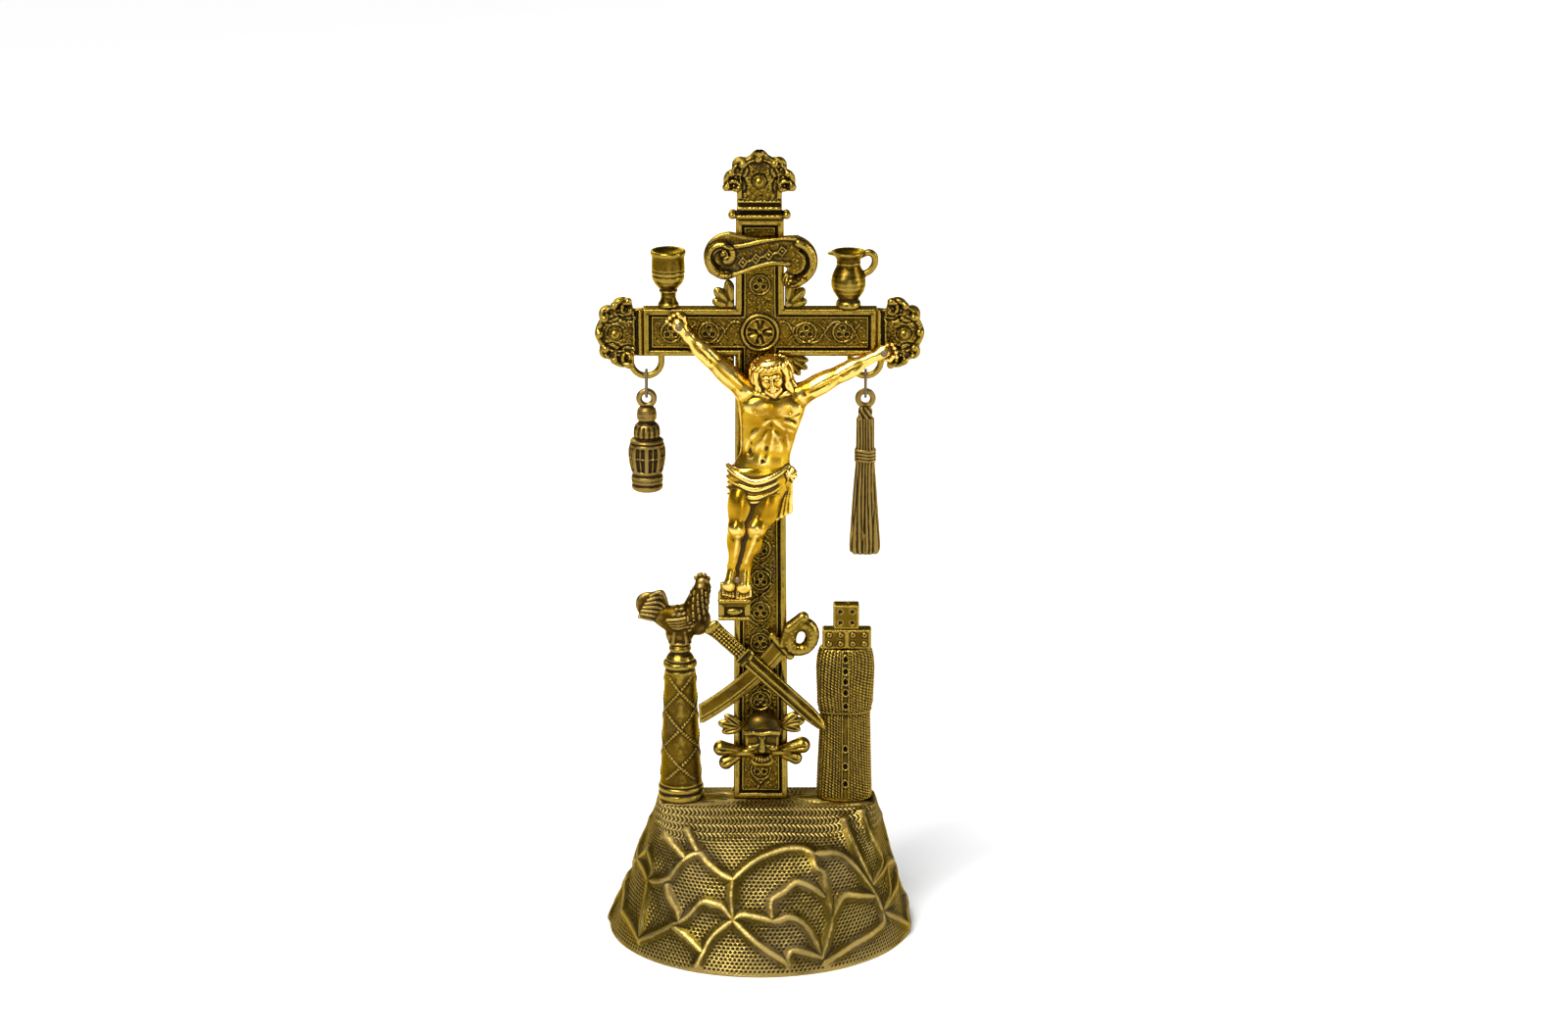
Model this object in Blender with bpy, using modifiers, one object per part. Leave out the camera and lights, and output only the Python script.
"""Standing altar cross of cast brass, as an assembly of separate pieces.

A hollow rock mound carries a framed cross, a rope-bound column with a rooster and a robe with
three dice. The cross has riveted end ornaments, a name scroll, corner leaves, a goblet and a jug,
a figure on three nails above a foot block, crossed blades, and a skull over a bone. A lantern and
a scourge hang on wire links from two loops under the arms and swing freely.

Metres, +Z up, -Y is the front. The origin is the middle of the mound's foot, on the ground.
"""
import math

import bmesh
import bpy
from mathutils import Matrix, Vector

MM = 0.001
GAP = 0.0003                      # clearance between pieces that touch
WELD = 1e-6                       # points closer than this are one point

# The mound: levels of height, half width, half depth and squareness of the section.
BASE_HALF_WIDTH = 0.0632
BASE_HALF_DEPTH = 0.0600
MOUND_TOP = 0.0560
MOUND_WALL = 0.0030
MOUND_SHIFT = 0.0026              # the top sits this far to the right of the foot's centre
MOUND_LEVELS = (
    (0.0000, BASE_HALF_WIDTH, BASE_HALF_DEPTH, 2.0),
    (0.0030, 0.0626, 0.0592, 2.0),
    (0.0130, 0.0588, 0.0528, 2.1),
    (0.0220, 0.0552, 0.0472, 2.2),
    (0.0350, 0.0508, 0.0385, 2.5),
    (0.0450, 0.0478, 0.0290, 3.0),
    (0.0510, 0.0464, 0.0205, 3.6),
    (0.0545, 0.0458, 0.0145, 4.5),
    (MOUND_TOP, 0.0450, 0.0112, 6.0),
)

# The cross: a flat bar casting with a sunk panel in front.
CROSS_FOOT = MOUND_TOP + GAP
CROSS_FRONT = -0.0035
CROSS_BACK = 0.0030
UPRIGHT_TOP = 0.3035
UPRIGHT_HALF_FOOT = 0.0113
UPRIGHT_HALF_TOP = 0.0096
BAR_HALF_LENGTH = 0.0471
BAR_LOW = 0.2467
BAR_HIGH = 0.2665
BAR_MIDDLE = (BAR_LOW + BAR_HIGH) / 2
FRAME_WIDTH = 0.0032
PANEL_DEPTH = 0.0012

# End ornaments, each riveted on a tongue of the cross.
TONGUE_FRONT = 0.0002
TONGUE_REACH = 0.0155
TONGUE_HALF = 0.0082
END_FRONT = -0.0050
END_BACK = -0.0001
END_RIVET = 0.0109                # rivet axis, out from where the ornament starts
RIVET_HOLE = 0.0014

# Hanging loops, wire links and pendants.
LOOP_X = (-0.0459, 0.0428)
LOOP_Y = 0.0016
LOOP_RADIUS = 0.00615
LOOP_TUBE = 0.00135
LOOP_LOW = 0.23735                # centre of the loop's tube at its lowest point
LINK_WIRE = 0.0006
LINK_RADIUS = 0.0023
LINK_LOW = 0.2286                 # centre of the link's wire at its lowest point
EYE_RADIUS = 0.00305
EYE_TUBE = 0.00115
EYE_CENTRE = LINK_LOW + LINK_RADIUS - EYE_RADIUS

# Uprights beside the cross, and the studs and nuts that hold all three.
COLUMN_X = -0.0330
ROBE_X = 0.0356
STUD_RADIUS = 0.0017
STUD_LOW = 0.0470
NUT_HEIGHT = 0.0026
NUT_RADIUS = 0.0040
DICE_MIDDLE = -0.0018             # the dice stand a little forward on the robe

# The figure: where its joints are, then how thick it is there.
FIGURE = {
    "head": (4.7, -14.0, 242.0), "neck": (5.4, -11.0, 232.0),
    "shoulder_a": (-5.6, -9.6, 234.8), "elbow_a": (-19.7, -8.2, 247.1),
    "wrist_a": (-28.4, -6.9, 255.7), "palm_a": (-32.3, -6.6, 260.4), "finger_a": (-33.6, -6.5, 263.6),
    "shoulder_b": (16.4, -9.6, 232.8), "elbow_b": (32.7, -8.2, 241.0),
    "wrist_b": (43.3, -7.6, 246.9), "palm_b": (49.4, -7.7, 249.8), "finger_b": (53.4, -7.6, 250.4),
    "chest": (4.8, -11.0, 226.0), "waist": (2.5, -11.0, 212.0), "hips": (0.6, -11.4, 198.5),
    "hip_a": (-5.2, -11.4, 196.0), "knee_a": (-8.8, -17.4, 182.0),
    "ankle_a": (-10.3, -11.4, 163.5), "toe_a": (-12.0, -14.2, 154.0),
    "hip_b": (5.4, -11.4, 196.0), "knee_b": (-1.6, -18.0, 182.5),
    "ankle_b": (-6.6, -12.6, 163.7), "toe_b": (-8.0, -15.4, 154.0),
    "knot": (12.2, -12.0, 201.0), "cloth_end": (6.0, -10.2, 183.0),
}
NAIL_RADIUS = 0.0006
NAIL_HOLE = 0.0009
HAND_NAIL_A = (-0.0323, 0.2604)
HAND_NAIL_B = (0.0500, 0.2499)
FEET_NAIL = (-0.0090, 0.1600)

COLOURS = {                       # colour, roughness, metallic
    "rock_brass": ((0.36, 0.30, 0.15), 0.55, 0.9),
    "cross_brass": ((0.42, 0.33, 0.10), 0.42, 1.0),
    "gilt": ((0.83, 0.60, 0.20), 0.28, 1.0),
    "dark_brass": ((0.24, 0.18, 0.08), 0.50, 0.9),
    "iron": ((0.10, 0.08, 0.06), 0.60, 0.8),
}

PARTS = "altar_cross"
CUTTERS = "altar_cross_cutters"


# ---------------------------------------------------------------- scene and materials

def clear_scene():
    for thing in list(bpy.data.objects):
        bpy.data.objects.remove(thing, do_unlink=True)
    for name in (PARTS, CUTTERS):
        bpy.context.scene.collection.children.link(bpy.data.collections.new(name))


def material(name):
    found = bpy.data.materials.get(name)
    if found:
        return found
    colour, roughness, metallic = COLOURS[name]
    made = bpy.data.materials.new(name)
    made.use_nodes = True
    shader = made.node_tree.nodes["Principled BSDF"]
    shader.inputs["Base Color"].default_value = (*colour, 1.0)
    shader.inputs["Roughness"].default_value = roughness
    shader.inputs["Metallic"].default_value = metallic
    made.diffuse_color = (*colour, 1.0)
    return made


def put(name, mesh, finish, smooth=True):
    piece = bpy.data.objects.new(name, mesh)
    bpy.data.collections[PARTS].objects.link(piece)
    mesh.materials.clear()
    mesh.materials.append(material(finish))
    if smooth:
        mesh.shade_smooth()
        mesh.set_sharp_from_angle(angle=math.radians(40))
    return piece


def cutter(name, mesh):
    tool = bpy.data.objects.new(name, mesh)
    bpy.data.collections[CUTTERS].objects.link(tool)
    tool.hide_render = True
    tool.display_type = "WIRE"
    return tool


def boolean(piece, tool, operation="DIFFERENCE"):
    step = piece.modifiers.new(f"{operation.lower()}_{tool.name}", "BOOLEAN")
    step.object = tool
    step.operation = operation
    step.solver = "EXACT"


# ---------------------------------------------------------------- shapes

def mesh_from(bm, name):
    bmesh.ops.recalc_face_normals(bm, faces=bm.faces)
    mesh = bpy.data.meshes.new(name)
    bm.to_mesh(mesh)
    bm.free()
    return mesh


def evaluated_mesh(thing, flat=False):
    """The mesh that a curve or a modified object comes to, with loose caps welded.

    With flat, neighbouring faces in one plane become one face.
    """
    graph = bpy.context.evaluated_depsgraph_get()
    mesh = bpy.data.meshes.new_from_object(thing.evaluated_get(graph))
    bm = bmesh.new()
    bm.from_mesh(mesh)
    bmesh.ops.transform(bm, matrix=thing.matrix_world, verts=bm.verts)
    bmesh.ops.remove_doubles(bm, verts=bm.verts, dist=WELD)
    if flat:
        bmesh.ops.dissolve_limit(bm, angle_limit=math.radians(1), verts=bm.verts, edges=bm.edges)
    result = mesh_from(bm, thing.name)
    bpy.data.meshes.remove(mesh)
    data = thing.data
    bpy.data.objects.remove(thing, do_unlink=True)
    if isinstance(data, bpy.types.Curve):
        bpy.data.curves.remove(data)
    return result


def plate_mesh(name, outline, front, back, edge=0.0):
    """A flat outline, given as (x, z) points, standing between two depths with rounded edges."""
    curve = bpy.data.curves.new(name, "CURVE")
    curve.dimensions = "2D"
    curve.fill_mode = "BOTH"
    curve.extrude = (back - front) / 2 - edge
    curve.bevel_depth = edge
    curve.bevel_resolution = 0
    curve.offset = -edge
    spline = curve.splines.new("POLY")
    spline.points.add(len(outline) - 1)
    for point, (x, z) in zip(spline.points, outline):
        point.co = (x, z, 0, 1)
    spline.use_cyclic_u = True
    thing = bpy.data.objects.new(name, curve)
    bpy.context.scene.collection.objects.link(thing)
    thing.location = (0, (front + back) / 2, 0)
    thing.rotation_euler = (math.pi / 2, 0, 0)
    bpy.context.view_layer.update()
    return evaluated_mesh(thing, flat=True)


def slab_mesh(name, outline, front, back):
    """A sharp-edged plate whose outline has stretches in line with each other."""
    bm = bmesh.new()
    face = bm.faces.new([bm.verts.new((x, front, z)) for x, z in outline])
    moved = bmesh.ops.extrude_face_region(bm, geom=[face], use_keep_orig=True)["geom"]
    points = [item for item in moved if isinstance(item, bmesh.types.BMVert)]
    bmesh.ops.translate(bm, vec=(0, back - front, 0), verts=points)
    return mesh_from(bm, name)


def box_mesh(name, low, high, bevel=0.0):
    bm = bmesh.new()
    bmesh.ops.create_cube(bm, size=1.0)
    size = [b - a for a, b in zip(low, high)]
    middle = [(a + b) / 2 for a, b in zip(low, high)]
    bmesh.ops.scale(bm, vec=size, verts=bm.verts)
    bmesh.ops.translate(bm, vec=middle, verts=bm.verts)
    if bevel:
        bmesh.ops.bevel(bm, geom=bm.edges[:], offset=bevel, segments=2, profile=0.5, affect="EDGES")
    return mesh_from(bm, name)


def rod_mesh(name, x, z, front, back, radius, sides=12):
    """A round bar along Y."""
    bm = bmesh.new()
    turn = Matrix.Translation((x, (front + back) / 2, z)) @ Matrix.Rotation(math.pi / 2, 4, "X")
    bmesh.ops.create_cone(bm, cap_ends=True, segments=sides, radius1=radius, radius2=radius,
                          depth=back - front, matrix=turn)
    return mesh_from(bm, name)


def post_mesh(name, x, y, low, high, radius, sides=12):
    """A round bar along Z."""
    bm = bmesh.new()
    bmesh.ops.create_cone(bm, cap_ends=True, segments=sides, radius1=radius, radius2=radius,
                          depth=high - low, matrix=Matrix.Translation((x, y, (low + high) / 2)))
    return mesh_from(bm, name)


def turned_mesh(name, profile, place, steps=20):
    """A profile of (radius, height) points from top to bottom, turned about Z."""
    bm = bmesh.new()
    points = [bm.verts.new((radius, 0, height)) for radius, height in profile]
    for upper, lower in zip(points, points[1:]):
        bm.edges.new((upper, lower))
    mesh = bpy.data.meshes.new(name)
    bm.to_mesh(mesh)
    bm.free()
    thing = bpy.data.objects.new(name, mesh)
    bpy.context.scene.collection.objects.link(thing)
    thing.location = place
    screw = thing.modifiers.new("turn", "SCREW")
    screw.steps = steps
    screw.render_steps = steps
    screw.use_merge_vertices = True
    screw.merge_threshold = WELD
    bpy.context.view_layer.update()
    return evaluated_mesh(thing)


def wire_mesh(name, points, radius, closed=False, widths=None, sides=2):
    """A round wire along (x, y, z) points; widths scale its radius at each of them."""
    curve = bpy.data.curves.new(name, "CURVE")
    curve.dimensions = "3D"
    curve.bevel_depth = radius
    curve.bevel_resolution = sides
    curve.use_fill_caps = True
    spline = curve.splines.new("POLY")
    spline.points.add(len(points) - 1)
    for index, (point, place) in enumerate(zip(spline.points, points)):
        point.co = (*place, 1)
        point.radius = widths[index] if widths else 1.0
    spline.use_cyclic_u = closed
    thing = bpy.data.objects.new(name, curve)
    bpy.context.scene.collection.objects.link(thing)
    bpy.context.view_layer.update()
    return evaluated_mesh(thing)


def ring_mesh(name, centre, radius, tube, around=20, sides=8):
    """A torus whose axis lies along Y."""
    points = []
    for index in range(around):
        angle = 2 * math.pi * index / around
        points.append((centre[0] + radius * math.cos(angle), centre[1],
                       centre[2] + radius * math.sin(angle)))
    return wire_mesh(name, points, tube, closed=True, sides=sides // 4)


def section(half_width, half_depth, squareness, centre, height, count):
    """One level of a loft: a rounded outline between an ellipse (2) and a rectangle (high)."""
    points = []
    for index in range(count):
        angle = 2 * math.pi * index / count
        c, s = math.cos(angle), math.sin(angle)
        x = math.copysign(abs(c) ** (2 / squareness), c) * half_width
        y = math.copysign(abs(s) ** (2 / squareness), s) * half_depth
        points.append((centre[0] + x, centre[1] + y, height))
    return points


def loft_into(bm, levels, close_first=True, close_last=True):
    """Join level after level of points with faces."""
    rings = [[bm.verts.new(point) for point in level] for level in levels]
    for ring, following in zip(rings, rings[1:]):
        for index in range(len(ring)):
            after = (index + 1) % len(ring)
            bm.faces.new((ring[index], ring[after], following[after], following[index]))
    if close_first:
        bm.faces.new(rings[0])
    if close_last:
        bm.faces.new(rings[-1])


def loft_mesh(name, levels):
    bm = bmesh.new()
    loft_into(bm, levels)
    return mesh_from(bm, name)


def ball_into(bm, centre, radii):
    scale = Matrix.Diagonal((*radii, 1.0))
    bmesh.ops.create_uvsphere(bm, u_segments=16, v_segments=10, radius=1.0,
                              matrix=Matrix.Translation(centre) @ scale)


def limb_into(bm, start, end, radius_start, radius_end):
    """A tapered bar with round ends."""
    start, end = Vector(start), Vector(end)
    ball_into(bm, start, (radius_start,) * 3)
    ball_into(bm, end, (radius_end,) * 3)
    along = end - start
    turn = along.to_track_quat("Z", "Y").to_matrix().to_4x4()
    bmesh.ops.create_cone(bm, cap_ends=True, segments=16, radius1=radius_start, radius2=radius_end,
                          depth=along.length, matrix=Matrix.Translation((start + end) / 2) @ turn)


def soft_mesh(name, balls, limbs, voxel, keep):
    """One smooth body from balls and limbs that run into each other. Sizes are in millimetres."""
    bm = bmesh.new()
    for centre, radii in balls:
        ball_into(bm, Vector(centre) * MM, [r * MM for r in radii])
    for start, end, radius_start, radius_end in limbs:
        limb_into(bm, Vector(start) * MM, Vector(end) * MM, radius_start * MM, radius_end * MM)
    mesh = bpy.data.meshes.new(name)
    bm.to_mesh(mesh)
    bm.free()
    thing = bpy.data.objects.new(name, mesh)
    bpy.context.scene.collection.objects.link(thing)
    remesh = thing.modifiers.new("merge", "REMESH")
    remesh.mode = "VOXEL"
    remesh.voxel_size = voxel
    calm = thing.modifiers.new("calm", "SMOOTH")
    calm.factor = 0.5
    calm.iterations = 2
    thin = thing.modifiers.new("thin", "DECIMATE")
    thin.ratio = keep
    bpy.context.view_layer.update()
    return evaluated_mesh(thing)


def arc(cx, cz, radius, start, end, count):
    """Points on an arc in the cross's plane, angles in degrees."""
    points = []
    for index in range(count):
        angle = math.radians(start + (end - start) * index / (count - 1))
        points.append((cx + radius * math.cos(angle), cz + radius * math.sin(angle)))
    return points


def union_outline(circles, blocks, centre, count):
    """The outline around overlapping circles and blocks, seen from a point inside them all."""
    points = []
    for index in range(count):
        angle = 2 * math.pi * index / count
        du, dv = math.cos(angle), math.sin(angle)
        reach = 0.0
        for u, v, radius in circles:
            along = (u - centre[0]) * du + (v - centre[1]) * dv
            across = (u - centre[0]) * dv - (v - centre[1]) * du
            if abs(across) < radius:
                reach = max(reach, along + math.sqrt(radius ** 2 - across ** 2))
        for low_u, high_u, half_v in blocks:
            limits = [half_v / max(abs(dv), 1e-9)]
            limits.append(((high_u if du > 0 else low_u) - centre[0]) / (du or 1e-9))
            reach = max(reach, min(abs(limit) for limit in limits))
        points.append((centre[0] + reach * du, centre[1] + reach * dv))
    return points


# ---------------------------------------------------------------- the mound

def mound():
    def levels(inset):
        made = []
        for height, half_width, half_depth, squareness in MOUND_LEVELS:
            lift = height / MOUND_TOP
            low = height - inset * lift if height else 0.0
            centre = (MOUND_SHIFT * lift, 0.0)
            made.append(section(half_width - inset, half_depth - inset, squareness, centre, low, 44))
        return made

    bm = bmesh.new()
    outer = levels(0.0)
    inner = levels(MOUND_WALL)
    loft_into(bm, list(reversed(inner)) + outer)
    piece = put("base_mound", mesh_from(bm, "base_mound"), "rock_brass")
    for name, x in (("cross", 0.0), ("column", COLUMN_X), ("robe", ROBE_X)):
        hole = post_mesh(f"hole_{name}", x, 0.0, STUD_LOW, MOUND_TOP + MM, STUD_RADIUS + GAP)
        boolean(piece, cutter(f"hole_{name}", hole))


def nuts():
    """A six-sided nut under the mound's top on each stud."""
    top = MOUND_TOP - MOUND_WALL - GAP
    washer_low = top - 0.8 * MM
    washer = post_mesh("cross_washer", 0.0, 0.0, washer_low, top, NUT_RADIUS + 0.6 * MM, 20)
    hole = cutter("hole_nut_cross", post_mesh("hole_nut_cross", 0, 0, 0.03, 0.06, STUD_RADIUS + GAP))
    boolean(put("cross_washer", washer, "iron"), hole)
    seats = (("cross_nut", 0.0, washer_low - GAP), ("column_nut", COLUMN_X, top), ("robe_nut", ROBE_X, top))
    for name, x, seat in seats:
        nut = post_mesh(name, x, 0.0, seat - NUT_HEIGHT, seat, NUT_RADIUS, 6)
        bore = post_mesh(f"bore_{name}", x, 0.0, 0.03, 0.06, STUD_RADIUS + GAP)
        boolean(put(name, nut, "iron", smooth=False), cutter(f"bore_{name}", bore))


# ---------------------------------------------------------------- the cross

def upright_half(height):
    """The upright narrows a little from its foot to its top."""
    share = (height - CROSS_FOOT) / (UPRIGHT_TOP - CROSS_FOOT)
    return UPRIGHT_HALF_FOOT + (UPRIGHT_HALF_TOP - UPRIGHT_HALF_FOOT) * share


def cross():
    low, high = upright_half(BAR_LOW), upright_half(BAR_HIGH)
    end = BAR_HALF_LENGTH
    tip = end + TONGUE_REACH
    side = [
        (UPRIGHT_HALF_FOOT, CROSS_FOOT), (low, BAR_LOW), (end, BAR_LOW),
        (end, BAR_HIGH), (high, BAR_HIGH), (UPRIGHT_HALF_TOP, UPRIGHT_TOP),
    ]
    outline = side + [(-x, z) for x, z in reversed(side)]
    piece = put("cross_body", slab_mesh("cross_body", outline, CROSS_FRONT, CROSS_BACK), "cross_brass")

    front = CROSS_FRONT - MM
    panel = CROSS_FRONT + PANEL_DEPTH
    back = CROSS_BACK - 0.2 * MM
    half = UPRIGHT_HALF_TOP - FRAME_WIDTH
    cuts = {
        "panel_upright": ((-half, front, CROSS_FOOT + 4 * MM), (half, panel, UPRIGHT_TOP - 2 * MM)),
        "panel_bar": ((-end + 2 * MM, front, BAR_LOW + FRAME_WIDTH),
                      (end - 2 * MM, panel + 0.01 * MM, BAR_HIGH - FRAME_WIDTH)),
    }
    tongues = {
        "tongue_left": ((-tip, TONGUE_FRONT, BAR_MIDDLE - TONGUE_HALF),
                        (-end + 2 * MM, back, BAR_MIDDLE + TONGUE_HALF)),
        "tongue_right": ((end - 2 * MM, TONGUE_FRONT, BAR_MIDDLE - TONGUE_HALF),
                         (tip, back, BAR_MIDDLE + TONGUE_HALF)),
        "tongue_top": ((-TONGUE_HALF, TONGUE_FRONT, UPRIGHT_TOP - 2 * MM),
                       (TONGUE_HALF, back, UPRIGHT_TOP + TONGUE_REACH + 5 * MM)),
    }
    for name, (corner, opposite) in cuts.items():
        boolean(piece, cutter(name, box_mesh(name, corner, opposite)))
    for name, (corner, opposite) in tongues.items():
        boolean(piece, cutter(name, box_mesh(name, corner, opposite)), "UNION")
    for name, (x, z) in END_PLACES.items():
        hole = rod_mesh(f"tongue_hole_{name}", x, z, front, CROSS_BACK + MM, RIVET_HOLE)
        boolean(piece, cutter(f"tongue_hole_{name}", hole))
    for name, (x, z) in (("hand", HAND_NAIL_A), ("feet", FEET_NAIL)):
        hole = rod_mesh(f"nail_hole_{name}", x, z, front, CROSS_BACK - MM, NAIL_HOLE)
        boolean(piece, cutter(f"nail_hole_{name}", hole))
    for name, x in (("goblet", GOBLET_X), ("jug", JUG_X)):
        hole = post_mesh(f"peg_hole_{name}", x, 0, BAR_HIGH - PEG - GAP, BAR_HIGH + MM, PEG_RADIUS + GAP)
        boolean(piece, cutter(f"peg_hole_{name}", hole))
    stud = post_mesh("cross_stud", 0, 0, STUD_LOW, CROSS_FOOT + 2 * MM, STUD_RADIUS)
    boolean(piece, cutter("cross_stud", stud), "UNION")


END_START = BAR_HALF_LENGTH + GAP
END_PLACES = {
    "left": (-END_START - END_RIVET + 0.2 * MM, BAR_MIDDLE),
    "right": (END_START + END_RIVET - 0.2 * MM, BAR_MIDDLE),
    "top": (0.0, UPRIGHT_TOP + GAP + END_RIVET + 4.6 * MM),
}


def ends():
    """Lobed ornaments; u runs out along the arm and v across it."""
    circles = [
        (9.4, 0.0, 9.3), (8.0, 10.0, 4.6), (8.0, -10.0, 4.6), (14.0, 7.6, 3.6), (14.0, -7.6, 3.6),
        (15.2, 0.0, 3.6),
    ]
    blocks = [(0.0, 9.0, 9.9)]
    arm = [(u * MM, v * MM) for u, v in union_outline(circles, blocks, (8.4, 0.0), 44)]
    neck = 7.6
    tall = [(u + neck, v, r) for u, v, r in circles] + [(neck + 16.8, 0.0, 3.7)]
    tall_blocks = [(0.0, 9.0 + neck, 9.9)]
    head = [(u * MM, v * MM) for u, v in union_outline(tall, tall_blocks, (16.0, 0.0), 48)]
    outlines = {
        "left": [(-END_START - u, BAR_MIDDLE - v) for u, v in arm],
        "right": [(END_START + u, BAR_MIDDLE + v) for u, v in arm],
        "top": [(-v, UPRIGHT_TOP + GAP + u) for u, v in head],
    }
    for name, outline in outlines.items():
        mesh = plate_mesh(f"terminal_{name}", outline, END_FRONT, END_BACK, 0.8 * MM)
        piece = put(f"terminal_{name}", mesh, "cross_brass")
        x, z = END_PLACES[name]
        hole = rod_mesh(f"rivet_hole_{name}", x, z, END_FRONT - MM, MM, RIVET_HOLE)
        boolean(piece, cutter(f"rivet_hole_{name}", hole))
        if name == "right":
            hole = rod_mesh("nail_hole_right", *HAND_NAIL_B, END_FRONT - MM, END_BACK + 0.1 * MM, NAIL_HOLE)
            boolean(piece, cutter("nail_hole_right", hole))
        rivet(name, x, z)


def rivet(name, x, z):
    """A domed head in front, a shank through both plates and a low upset head behind."""
    head, tail = END_FRONT - GAP, CROSS_BACK + GAP
    profile = [(0.0, -(head - 2.0 * MM)), (1.9 * MM, -(head - 1.5 * MM)), (3.0 * MM, -(head - 0.4 * MM)),
               (3.0 * MM, -head), (1.1 * MM, -head), (1.1 * MM, -tail), (2.1 * MM, -tail),
               (1.7 * MM, -(tail + 0.7 * MM)), (0.0, -(tail + 0.9 * MM))]
    mesh = turned_mesh(f"rivet_{name}", profile, (0, 0, 0), 14)
    mesh.transform(Matrix.Translation((x, 0, z)) @ Matrix.Rotation(math.pi / 2, 4, "X"))
    put(f"rivet_{name}", mesh, "cross_brass")


def leaves():
    """A small leaf in each inner corner of the cross."""
    for side, sx in (("left", -1), ("right", 1)):
        for level, sz, edge in (("upper", 1, BAR_HIGH), ("lower", -1, BAR_LOW)):
            x0 = upright_half(edge) + GAP
            z0 = edge + sz * GAP
            lobes = [(0.0, 0.0), (8.6, 0.0), (7.4, 2.6), (5.6, 3.2), (5.6, 5.6), (3.2, 6.4),
                     (2.8, 9.2), (0.6, 9.8), (0.0, 9.4)]
            outline = [(sx * (x0 + u * MM), z0 + sz * v * MM) for u, v in lobes]
            if sx * sz < 0:
                outline.reverse()
            name = f"leaf_{level}_{side}"
            put(name, plate_mesh(name, outline, -2.6 * MM, 1.6 * MM, 0.5 * MM), "cross_brass")


def scroll():
    """The name scroll: a band that rises to the right and rolls up at both ends."""
    upper = arc(-12.2, 288.6, 10.2, 200, 82, 9) + [(0.0, 296.4)] + arc(12.6, 286.8, 10.8, 82, -62, 10)
    lower = [(14.4, 275.8), (10.4, 276.2), (8.8, 280.0), (11.0, 283.4), (8.0, 285.0), (-4.0, 283.0)]
    lower += [(-13.2, 279.2), (-19.6, 281.6)]
    outline = [(x * MM, z * MM) for x, z in upper + lower]
    outline.reverse()
    mesh = plate_mesh("titulus_scroll", outline, -8.4 * MM, CROSS_FRONT - GAP, 0.8 * MM)
    put("titulus_scroll", mesh, "cross_brass")


# ---------------------------------------------------------------- vessels on the arms

GOBLET_X = -0.0367
JUG_X = 0.0357
PEG = 0.0035
PEG_RADIUS = 0.0011


def vessel_profile(shape):
    """A turned vessel with a peg below, as (radius, height) points from the top down."""
    foot = BAR_HIGH + GAP
    points = [(r * MM, foot + h * MM) for r, h in shape]
    return points + [(PEG_RADIUS, foot), (PEG_RADIUS, BAR_HIGH - PEG), (0.0, BAR_HIGH - PEG)]


def vessels():
    goblet = vessel_profile([
        (0.0, 20.6), (5.4, 21.2), (6.2, 22.4), (6.9, 22.2), (6.9, 20.6), (6.5, 19.8), (6.7, 15.0),
        (6.2, 10.2), (4.2, 8.0), (3.2, 6.2), (3.1, 3.6), (4.0, 1.8), (4.3, 0.9), (4.2, 0.0)])
    put("goblet", turned_mesh("goblet", goblet, (GOBLET_X, 0, 0), 20), "cross_brass")

    jug = vessel_profile([
        (0.0, 21.0), (4.6, 21.4), (6.0, 22.8), (6.6, 22.6), (6.2, 21.4), (4.9, 19.2), (4.8, 17.4),
        (6.2, 14.2), (7.0, 10.2), (6.0, 6.4), (4.2, 3.6), (4.2, 2.8), (5.0, 2.4), (5.0, 0.0)])
    piece = put("jug", turned_mesh("jug", jug, (JUG_X, 0, 0), 20), "cross_brass")
    base = BAR_HIGH + GAP
    path = [(4.6, 22.0), (8.4, 22.3), (10.3, 20.6), (10.3, 17.6), (8.4, 14.9), (5.4, 12.6)]
    points = [(JUG_X + u * MM, 0, base + h * MM) for u, h in path]
    handle = wire_mesh("jug_handle", points, 1.25 * MM)
    boolean(piece, cutter("jug_handle", handle), "UNION")


# ---------------------------------------------------------------- loops, links and pendants

def loops_and_links():
    for side, x in zip(("left", "right"), LOOP_X):
        rise = LOOP_LOW + LOOP_RADIUS
        outward = BAR_MIDDLE - TONGUE_HALF - GAP
        inward = BAR_LOW - GAP
        tops = (outward, inward) if side == "left" else (inward, outward)
        points = [(x - LOOP_RADIUS, LOOP_Y, tops[0])]
        points += [(px, LOOP_Y, pz) for px, pz in arc(x, rise, LOOP_RADIUS, 180, 360, 13)]
        points.append((x + LOOP_RADIUS, LOOP_Y, tops[1]))
        put(f"loop_{side}", wire_mesh(f"loop_{side}", points, LOOP_TUBE), "cross_brass")

        low = LINK_LOW + LINK_RADIUS
        path = arc(LOOP_Y, LOOP_LOW, LINK_RADIUS, 0, 180, 9) + arc(LOOP_Y, low, LINK_RADIUS, 180, 360, 9)
        link = wire_mesh(f"link_{side}", [(x, y, z) for y, z in path], LINK_WIRE, closed=True)
        put_moving(f"link_{side}", link, "iron", (x, LOOP_Y, LOOP_LOW))


def put_moving(name, mesh, finish, pivot):
    """A swinging piece with its origin on its hinge."""
    mesh.transform(Matrix.Translation(-Vector(pivot)))
    piece = put(name, mesh, finish)
    piece.location = pivot
    return piece


def pendant(name, mesh, x):
    piece = put_moving(name, mesh, "dark_brass", (x, LOOP_Y, LINK_LOW))
    ring = ring_mesh(f"{name}_eye", (x, LOOP_Y, EYE_CENTRE), EYE_RADIUS, EYE_TUBE)
    boolean(piece, cutter(f"{name}_eye", ring), "UNION")


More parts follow.
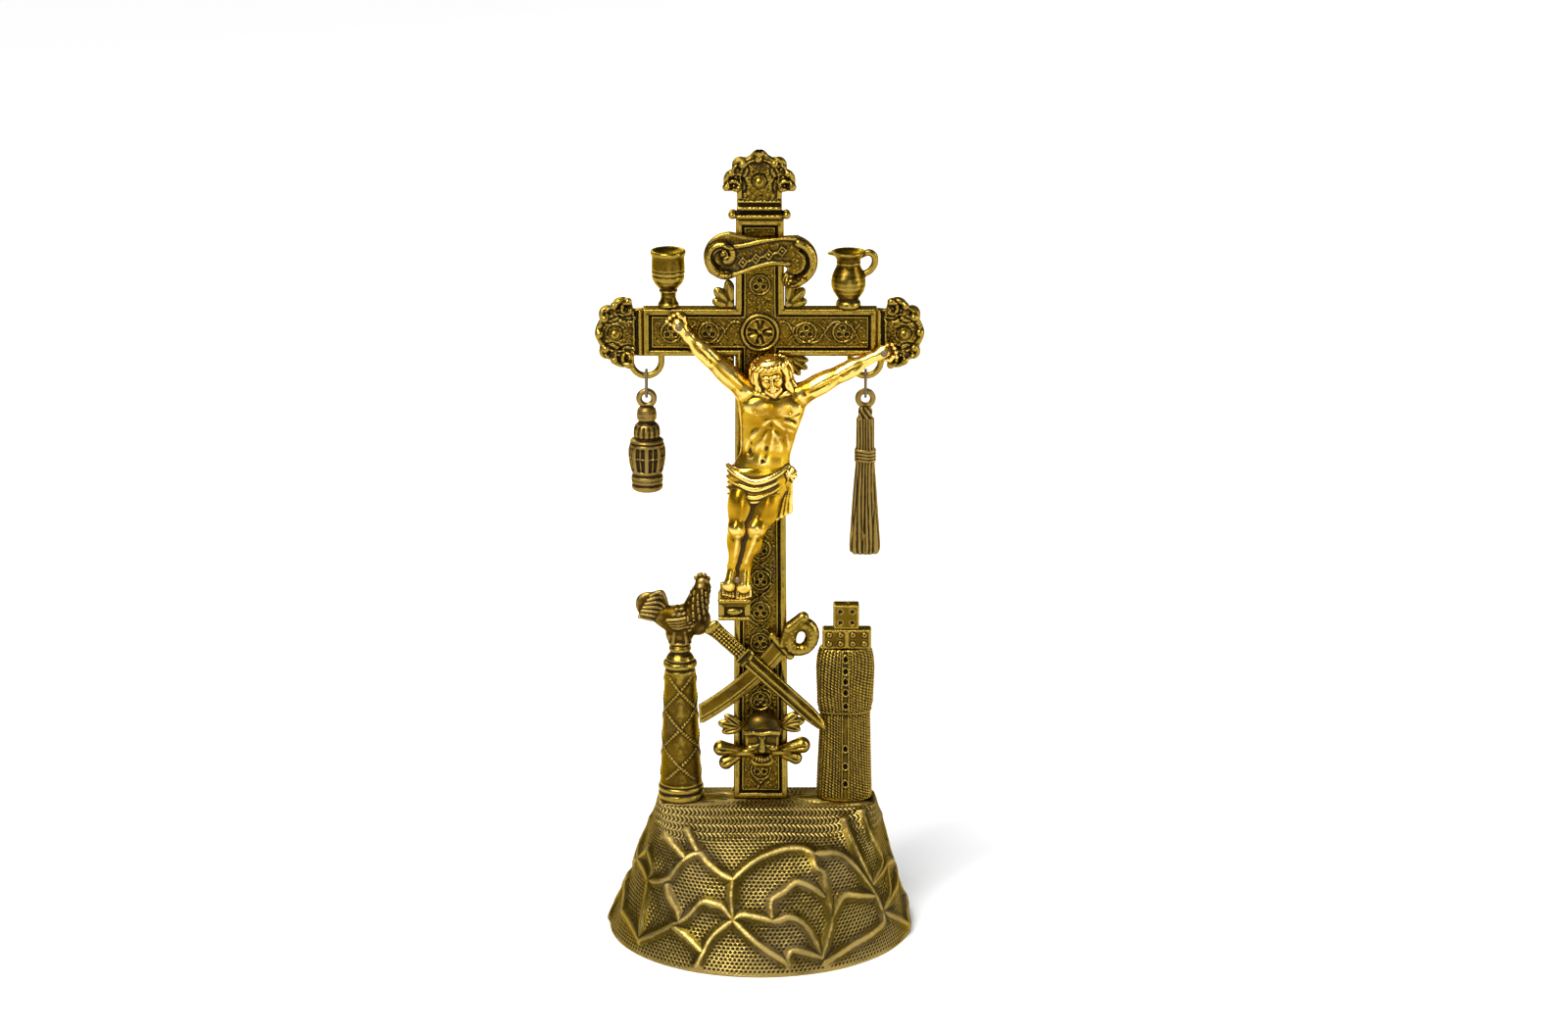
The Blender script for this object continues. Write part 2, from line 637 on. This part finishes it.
def pendants():
    lantern = [(0.0, 224.7), (2.6, 224.6), (3.8, 223.4), (3.9, 219.6), (3.2, 218.2), (4.8, 216.8),
               (5.1, 213.4), (4.6, 211.2), (6.6, 209.6), (7.7, 205.2), (7.3, 200.0), (6.2, 196.4),
               (6.4, 195.2), (6.3, 190.6), (5.4, 189.4), (0.0, 189.2)]
    profile = [(r * MM, h * MM) for r, h in lantern]
    mesh = turned_mesh("lantern", profile, (LOOP_X[0], LOOP_Y, 0), 16)
    pendant("lantern", mesh, LOOP_X[0])

    scourge = [(224.7, 2.0, 1.7), (223.4, 2.7, 2.1), (220.6, 2.7, 2.1), (219.8, 3.7, 2.6),
               (206.2, 3.9, 2.6), (205.6, 4.4, 3.0), (202.2, 4.4, 3.0), (201.4, 3.7, 2.6),
               (190.0, 4.6, 3.0), (166.0, 5.9, 3.6), (162.0, 5.2, 3.2)]
    levels = [section(a * MM, b * MM, 2.4, (LOOP_X[1], LOOP_Y), z * MM, 14) for z, a, b in scourge]
    pendant("scourge", loft_mesh("scourge", levels), LOOP_X[1])


# ---------------------------------------------------------------- the figure

def figure():
    f = FIGURE
    balls = [
        (f["head"], (6.4, 6.6, 8.0)),
        (f["chest"], (11.2, 6.6, 9.6)),
        (f["waist"], (9.4, 6.0, 9.0)),
        (f["hips"], (12.4, 7.0, 7.0)),
        (f["knot"], (3.6, 3.6, 3.4)),
    ]
    limbs = [
        (f["chest"], f["neck"], 6.2, 3.8), (f["neck"], f["head"], 3.8, 4.2),
        (f["chest"], f["waist"], 6.6, 6.6), (f["waist"], f["hips"], 6.6, 6.6),
        (f["chest"], f["shoulder_a"], 5.4, 3.9), (f["chest"], f["shoulder_b"], 5.4, 3.9),
        (f["shoulder_a"], f["elbow_a"], 3.6, 2.5), (f["elbow_a"], f["wrist_a"], 2.7, 1.9),
        (f["wrist_a"], f["palm_a"], 1.9, 2.1), (f["palm_a"], f["finger_a"], 2.0, 1.5),
        (f["shoulder_b"], f["elbow_b"], 3.6, 2.5), (f["elbow_b"], f["wrist_b"], 2.7, 1.9),
        (f["wrist_b"], f["palm_b"], 1.9, 2.1), (f["palm_b"], f["finger_b"], 2.0, 1.6),
        (f["hip_a"], f["knee_a"], 5.8, 4.2), (f["knee_a"], f["ankle_a"], 3.9, 2.5),
        (f["ankle_a"], f["toe_a"], 2.5, 2.1),
        (f["hip_b"], f["knee_b"], 5.8, 4.3), (f["knee_b"], f["ankle_b"], 4.0, 2.6),
        (f["ankle_b"], f["toe_b"], 2.6, 2.2),
        (f["knot"], f["cloth_end"], 3.0, 1.9),
    ]
    mesh = soft_mesh("corpus", balls, limbs, 1.15 * MM, 0.16)
    piece = put("corpus", mesh, "gilt")
    holes = (("hand_a", HAND_NAIL_A), ("hand_b", HAND_NAIL_B), ("feet", FEET_NAIL))
    for name, (x, z) in holes:
        hole = rod_mesh(f"corpus_hole_{name}", x, z, -0.024, -0.003, NAIL_HOLE)
        boolean(piece, cutter(f"corpus_hole_{name}", hole))


def nails():
    """Each nail has a domed head in front and ends inside the brass behind it."""
    places = (("nail_left_hand", HAND_NAIL_A, -9.4, CROSS_FRONT + 1.8 * MM),
              ("nail_right_hand", HAND_NAIL_B, -10.4, END_BACK - 0.6 * MM),
              ("nail_feet", FEET_NAIL, -17.4, CROSS_FRONT + 3.0 * MM))
    for name, (x, z), front, back in places:
        front *= MM
        profile = [(0.0, -(front - 0.9 * MM)), (0.9 * MM, -(front - 0.6 * MM)), (1.4 * MM, -front),
                   (NAIL_RADIUS, -(front + 0.1 * MM)), (NAIL_RADIUS, -(back - 0.6 * MM)), (0.0, -back)]
        mesh = turned_mesh(name, profile, (0, 0, 0), 10)
        mesh.transform(Matrix.Translation((x, 0, z)) @ Matrix.Rotation(math.pi / 2, 4, "X"))
        put(name, mesh, "iron")


def foot_block():
    """A ledge with a low back, against the upright's front."""
    rear = CROSS_FRONT - GAP
    side = [(rear, 0.1392), (-0.0150, 0.1392), (-0.0165, 0.1406), (-0.0165, 0.1480),
            (-0.0130, 0.1502), (-0.0066, 0.1502), (-0.0062, 0.1570), (-0.0050, 0.1582), (rear, 0.1582)]
    low, high = -0.0170, -0.0038
    bm = bmesh.new()
    loft_into(bm, [[(x, y, z) for y, z in side] for x in (low, high)])
    bmesh.ops.bevel(bm, geom=bm.edges[:], offset=0.3 * MM, segments=1, affect="EDGES")
    put("foot_block", mesh_from(bm, "foot_block"), "cross_brass")


# ---------------------------------------------------------------- blades, skull and bone

def along(start, end):
    """A function that places (u, v): u along start to end, v to its left."""
    reach = math.dist(start, end)
    ux, uz = (end[0] - start[0]) / reach, (end[1] - start[1]) / reach
    return lambda u, v: (start[0] + ux * u - uz * v, start[1] + uz * u + ux * v)


def sword():
    """Straight sword: grip, collar and a tapering blade, in front of the sabre."""
    start, end = (-21.4, 128.6), (27.0, 88.7)
    place = along(start, end)
    reach = math.dist(start, end)
    half = [(0.6, 2.2), (17.4, 2.8), (18.4, 3.9), (21.0, 3.9), (21.6, 3.4), (55.0, 3.3), (60.6, 2.4)]
    outline = [place(u, -v) for u, v in half] + [place(reach, 0)] + [place(u, v) for u, v in reversed(half)]
    outline = [(x * MM, z * MM) for x, z in outline]
    put("sword", plate_mesh("sword", outline, -8.8 * MM, -5.9 * MM, 0.6 * MM), "cross_brass")


def sabre():
    """Curved sabre, close against the upright: a bent broad blade and a looped hilt."""
    radius, half_width = 118.0, 3.9
    cx, cz = -85.2, 195.5
    inner = arc(cx, cz, radius - half_width, -38.0, -58.4, 9)
    outer = arc(cx, cz, radius + half_width, -60.4, -38.0, 9)
    outline = [(x * MM, z * MM) for x, z in inner + outer]
    outline.reverse()
    piece = put("sabre", plate_mesh("sabre", outline, -5.6 * MM, -3.8 * MM, 0.4 * MM), "cross_brass")
    path = [(8.2, 126.8), (10.4, 132.6), (15.0, 136.8), (19.4, 136.4), (21.8, 132.0), (20.4, 126.8),
            (15.6, 123.8), (10.6, 122.4)]
    widths = [1.0, 1.2, 1.3, 1.3, 1.1, 1.0, 1.0, 0.9]
    points = [(x * MM, -6.0 * MM, z * MM) for x, z in path]
    hilt = wire_mesh("sabre_hilt", points, 1.7 * MM, closed=True, widths=widths, sides=1)
    boolean(piece, cutter("sabre_hilt", hilt), "UNION")
    bar = wire_mesh("sabre_guard", [(5.6 * MM, -5.4 * MM, 128.0 * MM), (11.8 * MM, -5.4 * MM, 120.6 * MM)],
                    1.3 * MM, sides=1)
    boolean(piece, cutter("sabre_guard", bar), "UNION")


def skull_and_bone():
    y = -5.9
    balls = [((-15.4, y, 79.0), (5.4, 2.0, 2.9)), ((-13.4, y, 73.0), (4.6, 2.0, 2.8)),
             ((16.6, y, 81.4), (4.6, 2.0, 3.4)), ((13.6, y, 75.8), (4.2, 2.0, 2.8))]
    limbs = [((-13.0, y, 76.6), (13.0, y, 78.6), 2.0, 2.0)]
    put("crossbone", soft_mesh("crossbone", balls, limbs, 0.9 * MM, 0.16), "cross_brass")

    balls = [((0.8, -12.2, 86.6), (7.6, 4.0, 6.6)), ((0.8, -12.2, 81.0), (5.6, 3.4, 4.6)),
             ((0.8, -12.0, 74.6), (3.9, 2.9, 4.2))]
    put("skull", soft_mesh("skull", balls, [], 0.9 * MM, 0.22), "cross_brass")

    for name, sx, x0, z0 in (("left", -1, -7.6, 89.0), ("right", 1, 8.4, 90.0)):
        leaf = [(0, -3.0), (4.0, -3.4), (8.0, -1.2), (10.0, 2.4), (6.6, 3.6), (2.6, 3.4), (0, 2.0)]
        outline = [((x0 + sx * u) * MM, (z0 + v) * MM) for u, v in leaf]
        if sx < 0:
            outline.reverse()
        title = f"skull_leaf_{name}"
        put(title, plate_mesh(title, outline, -5.6 * MM, CROSS_FRONT - GAP, 0.4 * MM), "cross_brass")


# ---------------------------------------------------------------- column and rooster, robe and dice

def column():
    foot = MOUND_TOP + GAP
    shape = [(0.0, 123.0), (4.4, 123.0), (4.6, 121.0), (3.9, 119.6), (5.6, 117.6), (6.9, 115.8),
             (6.9, 114.4), (6.0, 113.2), (6.4, 112.0), (6.5, 108.0), (8.5, 64.0), (9.2, 62.4),
             (9.4, 61.0), (9.0, 59.8), (9.5, 58.6), (9.5, 57.2)]
    points = [(r * MM, h * MM) for r, h in shape]
    points += [(9.2 * MM, foot), (STUD_RADIUS, foot), (STUD_RADIUS, STUD_LOW), (0.0, STUD_LOW)]
    put("column", turned_mesh("column", points, (COLUMN_X, 0, 0), 20), "cross_brass")


def rooster():
    """A bird facing right on the capital, with a raised fan tail."""
    balls = [((-31.0, 0, 133.6), (9.4, 4.0, 6.2)), ((-26.0, 0, 134.6), (5.4, 3.6, 5.6)),
             ((-44.6, 0, 139.4), (6.8, 2.0, 6.0)), ((-24.6, 0, 148.4), (3.2, 2.2, 3.4)),
             ((-23.8, 0, 151.4), (2.6, 1.0, 2.2)), ((-21.8, 0, 145.6), (2.0, 1.3, 2.2)),
             ((-33.0, 0, 125.0), (4.4, 2.8, 1.4))]
    limbs = [((-28.0, 0, 136.0), (-24.6, 0, 148.0), 4.4, 2.4),
             ((-37.0, 0, 134.4), (-44.0, 0, 139.4), 3.4, 3.0),
             ((-33.6, 0, 130.0), (-32.6, 0, 125.6), 3.4, 2.0)]
    put("rooster", soft_mesh("rooster", balls, limbs, 1.0 * MM, 0.2), "dark_brass")


def robe():
    """A closed garment: a skirt, a drawn-in belt and an upper part with a flat neck."""
    foot = MOUND_TOP + GAP
    shape = [(122.2, 10.5, 6.0), (119.0, 11.2, 6.6), (113.0, 12.0, 7.0), (100.0, 11.0, 6.8),
             (96.4, 10.5, 6.4), (94.8, 10.1, 6.1), (92.6, 10.6, 6.4), (78.0, 11.2, 6.6),
             (60.0, 11.9, 7.0)]
    levels = [section(a * MM, b * MM, 2.5, (ROBE_X, 0), z * MM, 24) for z, a, b in shape]
    levels.append(section(12.0 * MM, 7.0 * MM, 2.5, (ROBE_X, 0), foot, 24))
    piece = put("robe", loft_mesh("robe", levels), "cross_brass")
    stud = post_mesh("robe_stud", ROBE_X, 0, STUD_LOW, foot + 2 * MM, STUD_RADIUS)
    boolean(piece, cutter("robe_stud", stud), "UNION")


def dice():
    """Two dice side by side on the robe's neck and one upon them, each shallower than it is wide."""
    width, depth, height, top_height = 0.0099, 0.0064, 0.0083, 0.0092
    low = 0.1222 + GAP
    places = {
        "die_left": (ROBE_X - width - GAP / 2, low, height),
        "die_right": (ROBE_X + GAP / 2, low, height),
        "die_top": (ROBE_X - width / 2, low + height + GAP, top_height),
    }
    for name, (x, z, tall) in places.items():
        corner = (x, DICE_MIDDLE - depth / 2, z)
        opposite = (x + width, DICE_MIDDLE + depth / 2, z + tall)
        put(name, box_mesh(name, corner, opposite, 0.5 * MM), "cross_brass")


clear_scene()
mound()
cross()
nuts()
ends()
leaves()
scroll()
vessels()
loops_and_links()
pendants()
figure()
nails()
foot_block()
sword()
sabre()
skull_and_bone()
column()
rooster()
robe()
dice()
